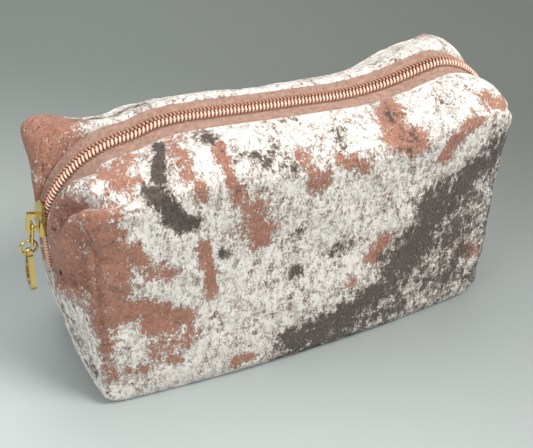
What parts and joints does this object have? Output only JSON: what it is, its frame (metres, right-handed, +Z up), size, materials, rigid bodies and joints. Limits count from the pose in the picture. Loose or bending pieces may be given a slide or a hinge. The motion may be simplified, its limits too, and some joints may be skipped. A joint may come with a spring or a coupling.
{
  "type": "zip makeup bag",
  "caption": "Boxed-corner zip pouch in padded crushed velvet, with a coil zip over its top and ends and a gold slider with a hoop pull.",
  "frame": {"origin": "centre of the base, on the surface the bag stands on", "axes": "+Z up, +X along the bag away from the parked slider, -Y is the front face"},
  "size_m": [0.2039, 0.064, 0.1074],
  "materials": {
    "velvet": "crushed velvet, silver white with rose and taupe patches",
    "padding": "needled fleece interlining",
    "lining": "plain woven cotton",
    "zip_tape": "herringbone woven polyester tape",
    "zip_coil": "metallised rose gold nylon coil",
    "core_cord": "twisted polyester cord",
    "thread": "polyester sewing thread",
    "gold_metal": "polished gold plated zinc",
    "spring_steel": "bright spring strip"
  },
  "bodies": {
    "root": {"coil_cord_back": "core_cord", "coil_cord_front": "core_cord", "corner_thread_left_back": "thread", "corner_thread_left_front": "thread", "corner_thread_right_back": "thread", "corner_thread_right_front": "thread", "end_seam_thread_left": "thread", "end_seam_thread_right": "thread", "lining": "lining", "padding": "padding", "velvet": "velvet", "zip_coil_back": "zip_coil", "zip_coil_front": "zip_coil", "zip_tape_back": "zip_tape", "zip_tape_front": "zip_tape", "zip_thread_back": "thread", "zip_thread_front": "thread"},
    "front_lip": {"coil_cord_front_lip": "core_cord", "corner_thread_right_front_lip": "thread", "lining_front_lip": "lining", "padding_front_lip": "padding", "velvet_front_lip": "velvet", "zip_coil_front_lip": "zip_coil", "zip_tape_front_lip": "zip_tape", "zip_thread_front_lip": "thread"},
    "back_lip": {"coil_cord_back_lip": "core_cord", "corner_thread_right_back_lip": "thread", "lining_back_lip": "lining", "padding_back_lip": "padding", "velvet_back_lip": "velvet", "zip_coil_back_lip": "zip_coil", "zip_tape_back_lip": "zip_tape", "zip_thread_back_lip": "thread"},
    "slider": {"slider_body": "gold_metal", "slider_crown": "gold_metal", "slider_lock_spring": "spring_steel"},
    "link": {"connector_link": "gold_metal"},
    "ring": {"jump_ring": "gold_metal"},
    "pull": {"pull_hoop": "gold_metal"}
  },
  "joints": [
    {"name": "front_lip_open", "type": "hinge", "parent": "root", "child": "front_lip", "pos_m": [0, -0.032, 0.0545], "axis": [1, 0, 0], "range_deg": [0, 25]},
    {"name": "back_lip_open", "type": "hinge", "parent": "root", "child": "back_lip", "pos_m": [0, 0.032, 0.0545], "axis": [-1, 0, 0], "range_deg": [0, 25]},
    {"name": "slider_run", "type": "hinge", "parent": "root", "child": "slider", "pos_m": [-0.0605, 0, 0.0705], "axis": [0, 1, 0], "range_deg": [-5, 60]},
    {"name": "link_swing", "type": "hinge", "parent": "slider", "child": "link", "pos_m": [-0.1003, 0, 0.07616], "axis": [0, 1, 0], "range_deg": [0, 115]},
    {"name": "ring_swing", "type": "hinge", "parent": "link", "child": "ring", "pos_m": [-0.10146, 0, 0.06794], "axis": [1, 0, 0], "range_deg": [-25, 25]},
    {"name": "pull_swing", "type": "hinge", "parent": "ring", "child": "pull", "pos_m": [-0.10279, 0, 0.06508], "axis": [0, 1, 0], "range_deg": [-4, 60]}
  ]
}
